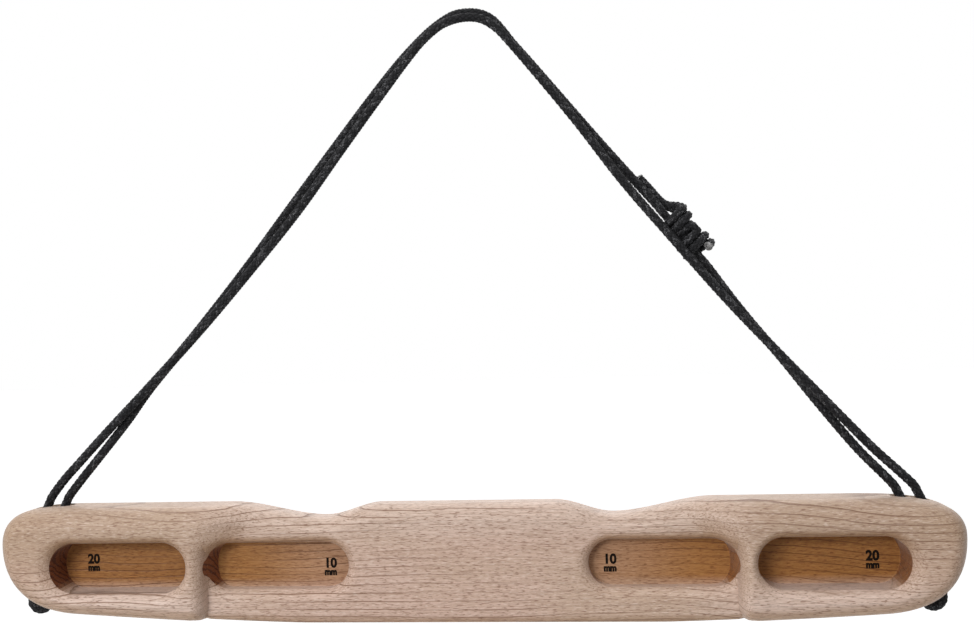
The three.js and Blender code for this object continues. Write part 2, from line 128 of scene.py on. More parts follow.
def remap(tree, value, low, high, to_low=0.0, to_high=1.0):
    """A value eased from one range into another, where it stops at both ends."""
    node = tree.nodes.new("ShaderNodeMapRange")
    node.interpolation_type = "SMOOTHSTEP"
    for socket, number in zip(node.inputs[0:5], (value, low, high, to_low, to_high)):
        wire(tree, number, socket)
    return node.outputs[0]


def noise(tree, place, finer, scale, detail, roughness=0.5):
    """Noise that is finer along x, y and z by these factors."""
    pulled = tree.nodes.new("ShaderNodeVectorMath")
    pulled.operation = "MULTIPLY"
    wire(tree, place, pulled.inputs[0])
    wire(tree, finer, pulled.inputs[1])
    node = tree.nodes.new("ShaderNodeTexNoise")
    for name, value in (("Vector", pulled.outputs[0]), ("Scale", scale), ("Detail", detail)):
        wire(tree, value, node.inputs[name])
    node.inputs["Roughness"].default_value = roughness
    return node.outputs[0]


def new_material(name):
    material = bpy.data.materials.new(name)
    material.use_nodes = True
    tree = material.node_tree
    return material, tree, tree.nodes["Principled BSDF"]


def object_place(tree):
    return tree.nodes.new("ShaderNodeTexCoord").outputs["Object"]


def split(tree, vector):
    node = tree.nodes.new("ShaderNodeSeparateXYZ")
    tree.links.new(vector, node.inputs[0])
    return node.outputs


def stored(tree, name, output="Fac"):
    node = tree.nodes.new("ShaderNodeAttribute")
    node.attribute_name = name
    return node.outputs[output]


def add_bump(tree, shader, height, strength):
    node = tree.nodes.new("ShaderNodeBump")
    node.inputs["Strength"].default_value = strength
    node.inputs["Distance"].default_value = BUMP_DEPTH * MM
    tree.links.new(height, node.inputs["Height"])
    tree.links.new(node.outputs[0], shader.inputs["Normal"])


def surface(tree, shader, colour, roughness, specular=0.5, sheen=0.0, sheen_roughness=0.5):
    """Colour and gloss of a surface, each a number or a link."""
    names = ("Base Color", "Roughness", "Specular IOR Level", "Sheen Weight", "Sheen Roughness")
    for name, value in zip(names, (colour, roughness, specular, sheen, sheen_roughness)):
        wire(tree, value, shader.inputs[name])


print("helpers for nodes, with bumps", BUMP_DEPTH, "mm deep")

# %% [markdown]
# ## Routes of the cord
# On the real object one cord runs through all four holes. Its front strand joins the outer holes, its back
# strand joins the inner holes and carries the knot. The route could be found by a cloth or rope simulation,
# but a taut cord has one shape, and it is known: these are the points that the solid model uses, measured in
# the photograph. A centripetal Catmull-Rom curve runs through them, because it doesn't loop or overshoot.

# %% Route points of the strands
HOLE_LEAN, SEAM_LEAN = math.radians(10), math.radians(25)
INNER_HOLE, HOLE_SPACING, HOLE_DEPTH, HOLE_TOP = 221.5, 9.7, 22, 29.2
SEAM_HEIGHT, TURN_DROP, STRAND_START_SHARES = 31, 21.5, (0.95, 1.5, 2)
# CORD is the solid model's thickness, and the other two are thicknesses over the humps of the braid.
CORD, SOFT_CORD, KNOT_CORD = 4.7, 4.95, 4.6
BOARD_PLACE = np.array([-8.9, -22, -281.6])

FRONT_ROUTE = [
    (-228.8, -0.5, -236.7), (-221, -0.8, -228.7), (-205.1, -1.7, -212.7), (-196.9, -2.2, -204.7),
    (-180.7, -2.6, -188.9), (-150.4, -2.6, -158.1), (-121.6, -2.6, -126.5), (-94.7, -2.6, -95.5),
    (-71, -2.6, -64.7), (-47.1, -2.5, -34.1), (-35, -2.4, -18.9), (-26.2, -2.3, -8.9),
    (-17.6, -2.2, -1.9), (-12.7, -2.2, 0.5), (-6.4, -2.2, 2.1), (0, -2.2, 2.35), (5.2, -2.2, 1.3),
    (9.3, -2.2, -0.8), (14.2, -2.3, -4.7), (18.5, -2.4, -9.6), (28.6, -2.5, -22.1),
    (53.6, -2.6, -54.5), (76.6, -2.8, -86.5), (101.9, -3, -117.9), (128.3, -2.8, -149.8),
    (156.4, -2.6, -181.1), (170.8, -2.3, -196.7), (185, -1.7, -212.1), (199.6, -1, -227.6),
    (212.4, -0.4, -239.8),
]
BACK_ROUTE_UPPER = [
    (-219.5, 0.5, -236.9), (-212.8, 0.8, -229), (-199.5, 1.7, -213.1), (-193, 2.2, -205.1),
    (-181, 2.6, -189.2), (-152.9, 2.6, -157.5), (-126.4, 2.6, -126.1), (-101.5, 2.6, -94.8),
    (-76.7, 2.6, -63.8), (-51.5, 2.5, -32.9), (-38.2, 2.4, -17.7), (-26.9, 2.3, -6.6),
    (-20.9, 2.3, -1.6), (-13.3, 2.2, 3.3), (-8.5, 2.2, 5.3), (-0.5, 2.2, 5.9), (5.8, 2.2, 4.6),
    (11, 2.3, 1.5), (15.1, 2.4, -3), (20.7, 2.5, -10.6), (29.3, 2.5, -21), (55.8, 2.6, -53.7),
    (69.1, 2.9, -69.9), (80.5, 3.9, -83.3),
]
BACK_ROUTE_LOWER = [
    (191.9, 0.9, -227.7), (179.6, 1.7, -212.4), (167.7, 2.4, -196.9), (156.1, 2.6, -181.3),
    (140.3, 3.4, -161.4), (130.9, 4.4, -148.7),
]
MIRROR = np.array([-1, 1, 1])
hole_down = np.array([math.sin(HOLE_LEAN), 0, -math.cos(HOLE_LEAN)])
hole_across = np.array([math.cos(HOLE_LEAN), 0, math.sin(HOLE_LEAN)])
seam_up = np.array([-math.sin(SEAM_LEAN), 0, math.cos(SEAM_LEAN)])
inner_mouth = np.array([INNER_HOLE, HOLE_DEPTH, HOLE_TOP])
outer_mouth = inner_mouth + [HOLE_SPACING, 0, 0]


def on_hole(mouth, height):
    """The point of a hole's centre line at this height over the middle of the pockets."""
    return mouth + hole_down * (mouth[2] - height) / math.cos(HOLE_LEAN)


def strand_start(mouth, left):
    """The first points of a strand, straight out of a hole's mouth, in the model's frame."""
    knee = on_hole(mouth, SEAM_HEIGHT - CORD * math.cos(SEAM_LEAN))
    points = [knee + seam_up * CORD * share for share in STRAND_START_SHARES]
    return [p * (MIRROR if left else 1) + BOARD_PLACE for p in points]


def turn_route(left):
    """Down the inner hole, round under the end of the board and up the outer hole."""
    bend = HOLE_SPACING * math.cos(HOLE_LEAN) / 2
    centre = on_hole(inner_mouth, -TURN_DROP) + hole_across * bend
    knee = on_hole(inner_mouth, SEAM_HEIGHT - CORD * math.cos(SEAM_LEAN))
    rise = np.array([HOLE_SPACING, 0, 0])
    down = [knee + seam_up * CORD, knee + seam_up * CORD / 2, knee]
    down += [on_hole(inner_mouth, height) for height in (2 * CORD, 0, bend - TURN_DROP)]
    turns = [math.pi * i / 6 for i in range(7)]
    round_ = [centre + bend * (hole_down * math.sin(a) - hole_across * math.cos(a)) for a in turns]
    up = [on_hole(inner_mouth, bend - TURN_DROP) + hole_across * 2 * bend]
    up += [on_hole(outer_mouth, height) for height in (0, 2 * CORD)]
    up += [knee + rise, knee + seam_up * CORD / 2 + rise, knee + seam_up * CORD + rise]
    return [p * (MIRROR if left else 1) + BOARD_PLACE for p in down + round_ + up]


print(len(FRONT_ROUTE), "front points,", len(BACK_ROUTE_UPPER) + len(BACK_ROUTE_LOWER), "back points")

# %% [markdown]
# ## Route of the knot
# The two ends are each wound round the other, as in a double fisherman's knot. A lump with a braid on it
# would be quicker, but from close by the eye looks for a cord that can be followed with a finger. So both
# ends are wound as real routes. In the knot's own frame a point is its distance outwards, its distance back
# and its place along.

# %% Route points of the knot
KNOT_AT = np.array([106.9, 5.3, -115.8])
KNOT_SLOPE = math.radians(52.6)
WRAP_WIDE, WRAP_DEEP, WRAP_SHIFT, WRAP_PITCH, WRAP_TURNS = 7.1, 5, 2.2, 4.65, 1.875
CROSS_LENGTH, CROSS_APART, CROSS_REST = 3.6, 4.8, 3.4
KNOT_ENTRY, KNOT_OVERLAP, ENTRY_POINTS, WRAP_POINTS = 16, 0.4, 7, 28
SHORT_TAIL = [(8.4, -2.6, 12), (6.6, -5, 12.4)]
LONG_TAIL = [(7.6, 2.9, -13.2), (5.2, 4.1, -16.4), (3.4, 4.1, -20), (2.8, 3.9, -24), (2.6, 3.4, -30),
             (2, 2.9, -38.4)]
knot_along = np.array([math.cos(KNOT_SLOPE), 0, -math.sin(KNOT_SLOPE)])
knot_out = np.array([math.sin(KNOT_SLOPE), 0, math.cos(KNOT_SLOPE)])


def in_knot(out, back, along):
    return KNOT_AT + knot_out * out + np.array([0, back, 0]) + knot_along * along


def knot_half(way):
    """way is 1 for the half that winds downwards and -1 for the half that winds upwards."""
    start = -way * (CROSS_APART + CROSS_LENGTH) / 2
    out = start + way * CROSS_LENGTH
    wind = out + way * CROSS_REST
    facing = way * math.pi / 4

    def spot(share, turn, along):
        out_by = WRAP_SHIFT + WRAP_WIDE * math.cos(turn)
        return in_knot(share * out_by, -share * WRAP_DEEP * math.sin(turn), along)

    points = [spot(0, 0, a) for a in np.linspace(-way * KNOT_ENTRY, start, ENTRY_POINTS)]
    for share in (0.25, 0.5, 0.75, 1):
        eased = share * share * (3 - 2 * share)
        points.append(spot(eased, facing, start + (out - start) * share))
    points.append(spot(1, facing, (out + wind) / 2))
    for turned in np.linspace(0, WRAP_TURNS, WRAP_POINTS):
        points.append(spot(1, facing + way * 2 * math.pi * turned, wind + way * WRAP_PITCH * turned))
    return points


def knot_entry(way):
    """The last points of a back strand, where it reaches the knot from above (-1) or from below (1)."""
    return [in_knot(0, 0, way * (KNOT_ENTRY + CORD)), in_knot(0, 0, way * (KNOT_ENTRY - KNOT_OVERLAP))]


routes = {
    "cord_turn_left": turn_route(True),
    "cord_turn_right": turn_route(False),
    "cord_front": strand_start(outer_mouth, True) + FRONT_ROUTE + strand_start(outer_mouth, False)[::-1],
    "cord_back_upper": strand_start(inner_mouth, True) + BACK_ROUTE_UPPER + knot_entry(-1),
    "cord_back_lower": strand_start(inner_mouth, False) + BACK_ROUTE_LOWER + knot_entry(1),
    "knot_lower": knot_half(1) + [in_knot(*step) for step in SHORT_TAIL],
    "knot_upper": knot_half(-1) + [in_knot(*step) for step in LONG_TAIL],
}
print("points of the routes:", {name: len(points) for name, points in routes.items()})

# %% Smooth routes and their lengths
POINTS_PER_SPAN = 12


def through(points):
    """A centripetal Catmull-Rom curve through the points, sampled evenly in each span."""
    p = np.array([np.asarray(q, float) for q in points])
    p = np.vstack([2 * p[0] - p[1], p, 2 * p[-1] - p[-2]])
    t = np.concatenate([[0], np.cumsum(np.linalg.norm(np.diff(p, axis=0), axis=1) ** 0.5)])
    rows = []
    for i in range(1, len(p) - 2):
        t0, t1, t2, t3 = t[i - 1:i + 3]
        s = np.linspace(t1, t2, POINTS_PER_SPAN, endpoint=False)[:, None]
        a1 = (t1 - s) / (t1 - t0) * p[i - 1] + (s - t0) / (t1 - t0) * p[i]
        a2 = (t2 - s) / (t2 - t1) * p[i] + (s - t1) / (t2 - t1) * p[i + 1]
        a3 = (t3 - s) / (t3 - t2) * p[i + 1] + (s - t2) / (t3 - t2) * p[i + 2]
        b1 = (t2 - s) / (t2 - t0) * a1 + (s - t0) / (t2 - t0) * a2
        b2 = (t3 - s) / (t3 - t1) * a2 + (s - t1) / (t3 - t1) * a3
        rows.append((t2 - s) / (t2 - t1) * b1 + (s - t1) / (t2 - t1) * b2)
    return np.vstack(rows + [p[-2]])


def distances(route):
    """How far along a route each of its points lies."""
    return np.concatenate([[0], np.cumsum(np.linalg.norm(np.diff(route, axis=0), axis=1))])


smooth_routes = {name: through(points) * MM for name, points in routes.items()}

# %% [markdown]
# ## The cord's colour
# The sheath is charcoal, woven from yarns of which some catch the light. An image of a braid could be wrapped
# round the cord, but it would stretch in the bends. The braid is worked out instead from an attribute that
# the tube carries: the cosine and sine of the angle round the cord, and the distance along it in millimetres.

# %% Braid pattern, shared by the tube's relief and its material
CARRIERS, LAY, THREADS = 6, 20.4, 4
SHOULDER, YARN_LABELS = 0.4, (7.13, 3.71)


def braid_pattern(tree, cosine, sine, along):
    """Height of the braid from 0 to 1, a number for each visible yarn, and the place across it."""
    turn = times(tree, calc(tree, "ARCTAN2", sine, cosine), CARRIERS / (2 * math.pi))
    step = times(tree, along, CARRIERS / LAY)
    first, second = calc(tree, "ADD", step, turn), calc(tree, "SUBTRACT", step, turn)
    cell_a, cell_b = calc(tree, "FLOOR", first), calc(tree, "FLOOR", second)
    odd = calc(tree, "FLOORED_MODULO", calc(tree, "ADD", cell_a, cell_b), 2.0)

    def hump(place, cell):
        return calc(tree, "SINE", times(tree, calc(tree, "SUBTRACT", place, cell), math.pi))

    def on_top(one, other):
        """The first yarn's value, and the second's in the cells where that yarn lies on top."""
        return calc(tree, "ADD", one, times(tree, odd, calc(tree, "SUBTRACT", other, one)))

    hump_a, hump_b = hump(first, cell_a), hump(second, cell_b)
    over_a = times(tree, hump_a, calc(tree, "POWER", hump_b, SHOULDER))
    over_b = times(tree, hump_b, calc(tree, "POWER", hump_a, SHOULDER))
    labels = [times(tree, cell, factor) for cell, factor in zip((cell_a, cell_b), YARN_LABELS)]
    return on_top(over_a, over_b), calc(tree, "ADD", *labels), on_top(first, second)


print("a braid of", 2 * CARRIERS, "yarns, each once round the cord in", LAY, "mm")

# %% Cord material
CORD_HOLLOW_SHADE, CORD_YARN, CORD_FUZZ = (0.002, 0.002, 0.0025, 1), (0.015, 0.015, 0.017, 1), (0.20, 0.20, 0.21, 1)


def cord_material():
    material, tree, shader = new_material("braided_cord")
    height, label, across = braid_pattern(tree, *split(tree, stored(tree, "braid", "Vector"))[:3])
    random = tree.nodes.new("ShaderNodeTexWhiteNoise")
    random.noise_dimensions = "1D"
    tree.links.new(label, random.inputs["W"])
    threads = calc(tree, "SINE", times(tree, across, 2 * math.pi * THREADS))
    fuzz = noise(tree, object_place(tree), (1, 1, 1), 1400, 2)
    light = times(tree, remap(tree, random.outputs[0], 0.50, 0.95), remap(tree, fuzz, 0.43, 0.66))
    # Painted shade: the pale yarns darker in the grooves between their threads.
    light = times(tree, light, remap(tree, threads, -0.6, 1.0, 0.35, 1.0))
    # Painted shade: the hollows of the braid darker than the tops of its yarns.
    body = blend_colour(tree, remap(tree, height, 0.1, 0.9), CORD_HOLLOW_SHADE, CORD_YARN)
    add_bump(tree, shader, calc(tree, "ADD", times(tree, threads, 0.3), height), 0.6)
    surface(tree, shader, blend_colour(tree, light, body, CORD_FUZZ), 0.7, specular=0.16, sheen=0.02)
    return material


cord_look = cord_material()
print("material", cord_look.name, "with", len(cord_look.node_tree.nodes), "nodes")

# %% [markdown]
# ## The braided tube, made with Geometry Nodes
# A braided cord is lumpy, and its outline shows that. The yarns could be modelled one by one, at the price of
# millions of faces, or be faked by bump alone, which leaves the outline smooth. This tree does something in
# between: it lays a circle along a curve, presses the hollows of the braid into the surface and stores the
# attribute that the material reads. The cord's sizes are its inputs, so one tree serves all seven pieces. The
# curve's own radius scales the circle, so the cord can be thinner in the knot.

# %% Geometry Nodes tree of the cord
RELIEF, TUBE_STEP, TUBE_SIDES = 0.6, 0.65, 30


def cord_tree(material):
    tree = bpy.data.node_groups.new("braided_tube", "GeometryNodeTree")
    face = tree.interface
    for way in ("INPUT", "OUTPUT"):
        face.new_socket("Geometry", in_out=way, socket_type="NodeSocketGeometry")
    for name, value in (("Diameter", SOFT_CORD), ("Relief", RELIEF), ("Step", TUBE_STEP)):
        face.new_socket(name, in_out="INPUT", socket_type="NodeSocketFloat").default_value = value * MM
    face.new_socket("Sides", in_out="INPUT", socket_type="NodeSocketInt").default_value = TUBE_SIDES
    add, link = tree.nodes.new, tree.links.new
    given, made = add("NodeGroupInput"), add("NodeGroupOutput")

    def captured(geometry, kind, name, value):
        """The geometry with a value kept on it, and that value."""
        keep = add("GeometryNodeCaptureAttribute")
        keep.capture_items.new(kind, name)
        link(geometry, keep.inputs[0])
        link(value, keep.inputs[1])
        return keep.outputs

    even = add("GeometryNodeResampleCurve")
    even.mode = "LENGTH"
    link(given.outputs["Geometry"], even.inputs["Curve"])
    link(given.outputs["Step"], even.inputs["Length"])
    gone = add("GeometryNodeSplineParameter").outputs["Length"]
    line = captured(even.outputs[0], "FLOAT", "along", gone)
    radius = times(tree, given.outputs["Diameter"], 0.5)
    circle = add("GeometryNodeCurvePrimitiveCircle")
    link(given.outputs["Sides"], circle.inputs["Resolution"])
    link(radius, circle.inputs["Radius"])
    profile = captured(circle.outputs[0], "VECTOR", "round", add("GeometryNodeInputPosition").outputs[0])

    tube = add("GeometryNodeCurveToMesh")
    tube.inputs["Fill Caps"].default_value = True
    link(line[0], tube.inputs["Curve"])
    link(profile[0], tube.inputs["Profile Curve"])
    link(add("GeometryNodeInputRadius").outputs[0], tube.inputs["Scale"])
    spot = split(tree, profile[1])
    along = calc(tree, "DIVIDE", line[1], MM)
    height = braid_pattern(tree, spot[0], spot[1], along)[0]
    push = add("ShaderNodeVectorMath")
    push.operation = "SCALE"
    link(add("GeometryNodeInputNormal").outputs[0], push.inputs[0])
    depth = times(tree, calc(tree, "SUBTRACT", height, 1.0), given.outputs["Relief"])
    link(depth, push.inputs["Scale"])
    moved = add("GeometryNodeSetPosition")
    link(tube.outputs[0], moved.inputs["Geometry"])
    link(push.outputs[0], moved.inputs["Offset"])

    braid = add("ShaderNodeCombineXYZ")
    for value, socket in zip([calc(tree, "DIVIDE", spot[i], radius) for i in (0, 1)] + [along], braid.inputs):
        link(value, socket)
    store = add("GeometryNodeStoreNamedAttribute")
    store.data_type = "FLOAT_VECTOR"
    store.inputs["Name"].default_value = "braid"
    link(moved.outputs[0], store.inputs["Geometry"])
    link(braid.outputs[0], store.inputs["Value"])
    real, paint = add("GeometryNodeRealizeInstances"), add("GeometryNodeSetMaterial")
    paint.inputs["Material"].default_value = material
    link(store.outputs[0], real.inputs[0])
    link(real.outputs[0], paint.inputs[0])
    link(paint.outputs[0], made.inputs[0])
    return tree


tube_tree = cord_tree(cord_look)
print("tree", tube_tree.name, "with", len(tube_tree.nodes), "nodes")


# %% Tubes for all seven pieces
def evaluated_mesh(thing):
    """A plain mesh of what this object's modifiers make."""
    return bpy.data.meshes.new_from_object(thing.evaluated_get(bpy.context.evaluated_depsgraph_get()))


def braided_tube(name, route, thickness):
    """A mesh of the braided cord along this route, with its share of full thickness point by point."""
    line = bpy.data.curves.new(name + "_line", "CURVE")
    line.dimensions = "3D"
    spline = line.splines.new("POLY")
    spline.points.add(len(route) - 1)
    spline.points.foreach_set("co", np.column_stack([route, np.ones(len(route))]).ravel())
    spline.points.foreach_set("radius", thickness)
    carrier = add_object(name + "_line", line)
    nodes = carrier.modifiers.new("braid", "NODES")
    nodes.node_group = tube_tree
    mesh = evaluated_mesh(carrier)
    carrier.modifiers.remove(nodes)
    bpy.data.objects.remove(carrier)
    mesh.shade_smooth()
    return add_object(name, mesh)


# In the knot the cord eases from full to thin and, towards its tail, back to full. It is fuller where turns
# press it into the hollow beside it: place along the cord, reach to both sides and the share that is added.
# KNOT_CORE is placed from the start of a half, TAIL_EXIT from the end of the long tail.
TAIL_LENGTH = {"knot_lower": 5, "knot_upper": 28}
EASE_TO_THIN, EASE_TO_FULL = 3, 6
KNOT_CORE, TAIL_EXIT = (12.6, 8, 1.2), (26.6, 6, 0.5)


def pressed(gone, place, reach, extra):
    return extra * (1 - np.abs(gone - place) / reach).clip(0, 1)


def squeezed(name, route):
    """Full thickness along the strands, thinner in the knot, except at its ends and in its middle."""
    if name not in TAIL_LENGTH:
        return np.ones(len(route))
    gone = distances(route) / MM
    ahead = gone[-1] - gone
    full = np.maximum(1 - gone / EASE_TO_THIN, (TAIL_LENGTH[name] - ahead) / EASE_TO_FULL).clip(0, 1)
    fuller = 1 + pressed(gone, *KNOT_CORE)
    if name == "knot_upper":
        fuller = fuller + pressed(ahead, *TAIL_EXIT)
    thin = KNOT_CORD / SOFT_CORD
    return (thin + (1 - thin) * full) * fuller


cords = {}
for name, route in smooth_routes.items():
    cords[name] = braided_tube(name, route, squeezed(name, route))
    print(name, len(cords[name].data.polygons), "faces")

# %% [markdown]
# ## What each cord piece stands for and how it moves
# In use the board tips under the fingers and the cord bends just above its holes. Each strand could be cut
# there, but a cut shows. So the strands are left whole and attached to nothing, the turns ride on the board
# and the knot rides on the sling.

CORD_FACTS = {
    "cord_turn_left": ("left_cord_turn", "board", "object"),
    "cord_turn_right": ("right_cord_turn", "board", "object"),
    "cord_front": ("front_strand", None, "object"),
    "cord_back_upper": ("back_strand_upper", None, "knot"),
    "cord_back_lower": ("back_strand_lower", None, "knot"),
    "knot_lower": ("knot_lower_half", "sling", "bare"),
    "knot_upper": ("knot_upper_half", "sling", "bare"),
}
for name, piece in cords.items():
    node, body, far_end = CORD_FACTS[name]
    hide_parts(node)
    if body:
        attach(piece, body)
    else:
        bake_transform(piece)
    route = smooth_routes[name]
    path = route[::2] if len(route) % 2 else np.vstack([route[::2], route[-1]])
    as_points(path)
print("declared", len(cords), "cord pieces")

# %% [markdown]
# ## Studio
# The photograph is a cut-out on white with soft light from above and a little from the left: the upper rims
# of the pockets are dark, their lower rims pale. A bright world would light it evenly and flatten those rims.
# So the world is weak, a softbox hangs overhead, a key stands at the front left and a strip behind draws the
# pale line along the top. White shows only to rays from the camera, in mirrors and through glass.

# %% Floor and surround
FLOOR_AT, FLOOR_HALF, FLOOR_GLOW, AMBIENT = -0.72, 12.0, 0.88, 0.20
WHITE = (1, 1, 1, 1)


def seen_directly(tree):
    """1 for rays from the camera, in a mirror or through glass, and 0 for rays that light things."""
    path = tree.nodes.new("ShaderNodeLightPath").outputs
    seen = calc(tree, "MAXIMUM", path["Is Camera Ray"], path["Is Glossy Ray"])
    return calc(tree, "MAXIMUM", seen, path["Is Transmission Ray"])


def floor_material():
    material, tree, shader = new_material("pale_floor")
    surface(tree, shader, (0.55, 0.55, 0.55, 1), 0.9)
    shader.inputs["Emission Color"].default_value = WHITE
    wire(tree, times(tree, seen_directly(tree), FLOOR_GLOW), shader.inputs["Emission Strength"])
    return material


floor_mesh = bpy.data.meshes.new("floor")
corners = [(x * FLOOR_HALF, y * FLOOR_HALF, FLOOR_AT) for x, y in ((-1, -1), (1, -1), (1, 1), (-1, 1))]
floor_mesh.from_pydata(corners, [], [(0, 1, 2, 3)])
floor_mesh.materials.append(floor_material())
floor = add_object("floor", floor_mesh)

world = bpy.data.worlds.new("surround")
bpy.context.scene.world = world
world.use_nodes = True
sky = world.node_tree
background = sky.nodes["Background"].inputs
background["Color"].default_value = WHITE
wire(sky, calc(sky, "MULTIPLY_ADD", seen_directly(sky), 1 - AMBIENT, AMBIENT), background["Strength"])
print("white surround, ambient light", AMBIENT)

# %% Lamps
MIDDLE = (0, 0, -0.28)


def area_light(name, place, size, power):
    """A rectangular lamp that faces the middle of the board."""
    data = bpy.data.lights.new(name, "AREA")
    data.shape = "RECTANGLE"
    data.size, data.size_y = size
    data.energy = power
    lamp = add_object(name, data)
    lamp.location = place
    lamp.rotation_euler = (Vector(MIDDLE) - Vector(place)).to_track_quat("-Z", "Y").to_euler()


area_light("key_left_front", (-0.75, -1.5, 0.24), (0.7, 0.5), 14)
area_light("softbox_overhead", (-0.15, -0.55, 0.75), (2.2, 1.0), 9)
area_light("strip_behind", (0.0, 0.75, 0.50), (1.8, 0.5), 9)
bpy.context.scene.view_settings.view_transform = "Standard"
print("a key at the front left, a softbox overhead and a strip behind")

# %% [markdown]
# ## The board's shape
# The blank is bandsawn to its outline, thinned in the middle by a step and rounded at all its edges. It could
# be carved from a subdivided box, but its edges would then be hard to measure. It is a loft: closed loops
# across its length, each running down the front and back up the rear. The formulas are the solid model's with
# smaller steps, and the two ends may differ a little, as on the real, hand-finished board.

# %% Outline and depth of the board
HALF_LENGTH, TIP_HEIGHT = 250, 12
CROWN_HEIGHT, CROWN_HALF, DIP_HEIGHT, DIP_AT, HUMP_HEIGHT, HUMP_AT = 30.2, 46, 23.7, 76, 31.2, 128
SHOULDER_AT, SWEEP_AT, SWEEP_POWER, BELLY_DROP = 196, 210, 1.3, 31.1
# The two ends differ a little: 1 is the right one and -1 the left one.
BELLY_HALF, SWEEP_RISE = {1: 100, -1: 85}, {1: 4.9, -1: 6.3}
THICKNESS, STEP_DEPTH, STEP_AT, STEP_WIDTH, POCKET_HALF = 36, 10, 144.5, 7.2, 13.2
STEP_TUCK, TUCK_FROM, TUCK_HEIGHT, RAIL_WIDTH, RAIL_HEIGHT = 4, 20, 10, 38, 24


def clamp01(value):
    return min(1.0, max(0.0, value))


def mix(low, high, share):
    return low + (high - low) * share


def smooth(value):
    value = clamp01(value)
    return value * value * (3 - 2 * value)


def top_edge(u):
    if u <= DIP_AT:
        return mix(CROWN_HEIGHT, DIP_HEIGHT, smooth((u - CROWN_HALF) / (DIP_AT - CROWN_HALF)))
    return mix(DIP_HEIGHT, HUMP_HEIGHT, smooth((u - DIP_AT) / (HUMP_AT - DIP_AT)))


def bottom_edge(u, sign):
    share = clamp01((u - BELLY_HALF[sign]) / (SWEEP_AT - BELLY_HALF[sign]))
    return SWEEP_RISE[sign] * share ** SWEEP_POWER - BELLY_DROP


def front_depth(u, w):
    """How far the face lies behind the outer blocks: a rounded step low down, a long slope higher up."""
    tuck = STEP_TUCK * clamp01((-w - TUCK_FROM) / TUCK_HEIGHT) ** 2
    shoulder = clamp01((STEP_AT + tuck - u) / STEP_WIDTH)
    stepped = 1 - math.sqrt(1 - shoulder ** 2)
    width = mix(STEP_WIDTH, RAIL_WIDTH, clamp01(w / RAIL_HEIGHT))
    return STEP_DEPTH * mix(stepped, smooth((STEP_AT - u) / width), smooth(w / POCKET_HALF))


print("height in the middle:", round(top_edge(0) - bottom_edge(0, 1), 1), "mm")

# %% Loops across the board
SLOPE_STEP, FOOT_SHARE, TIP_CROWDING, EDGE_STEPS, FACE_STEPS = 0.5, 0.16, 1.2, 15, 40
# Rounds of the front edges, at the blocks, in the middle and at the tips: their reach, then their depth
TOP_REACH, TOP_DEPTH = (12, 8, 10), (12, 9, 15.5)
LOW_REACH, LOW_DEPTH = (9, 5, 10), (10, 5, 15.5)
BACK_ROUND, BACK_TIP_DEPTH = 9, 14.5


def bezier(points, t):
    p = np.array(points, float)
    a, b = 1 - t, t
    place = a ** 3 * p[0] + 3 * a * a * b * p[1] + 3 * a * b * b * p[2] + b ** 3 * p[3]
    way = a * a * (p[1] - p[0]) + 2 * a * b * (p[2] - p[1]) + b * b * (p[3] - p[2])
    return place, way / np.linalg.norm(way)


SHOULDER, TIP = (SHOULDER_AT, HUMP_HEIGHT), (HALF_LENGTH, TIP_HEIGHT)
SWEEP = {sign: (SWEEP_AT, bottom_edge(SWEEP_AT, sign)) for sign in (1, -1)}
CORNER = {1: [SHOULDER, (225, HUMP_HEIGHT), (HALF_LENGTH, 30.5), TIP],
          -1: [SHOULDER, (230, HUMP_HEIGHT), (HALF_LENGTH, 33.5), TIP]}
HEEL = {1: [SWEEP[1], (244, -23.8), (HALF_LENGTH, -3.5), TIP],
        -1: [SWEEP[-1], (242.5, -22.5), (HALF_LENGTH, -2), TIP]}


def station(sign, u, share):
    """Top point, its outward normal, bottom point and its outward normal."""
    if share == 0:
        near, far = u - SLOPE_STEP, u + SLOPE_STEP
        up = np.array([(top_edge(near) - top_edge(far)) / (2 * SLOPE_STEP), 1])
        down = np.array([(bottom_edge(far, sign) - bottom_edge(near, sign)) / (2 * SLOPE_STEP), -1])
        return (np.array([u, top_edge(u)]), up / np.linalg.norm(up),
                np.array([u, bottom_edge(u, sign)]), down / np.linalg.norm(down))
    top, way = bezier(CORNER[sign], share)
    if share < FOOT_SHARE:
        foot = mix(SHOULDER_AT, SWEEP_AT, share / FOOT_SHARE)
        low, heading = np.array([foot, bottom_edge(foot, sign)]), bezier(HEEL[sign], 0)[1]
    else:
        low, heading = bezier(HEEL[sign], (share - FOOT_SHARE) / (1 - FOOT_SHARE))
    return top, np.array([-way[1], way[0]]), low, np.array([heading[1], -heading[0]])


def edge_size(sizes, in_middle, at_tip):
    return mix(mix(sizes[0], sizes[1], in_middle), sizes[2], at_tip)


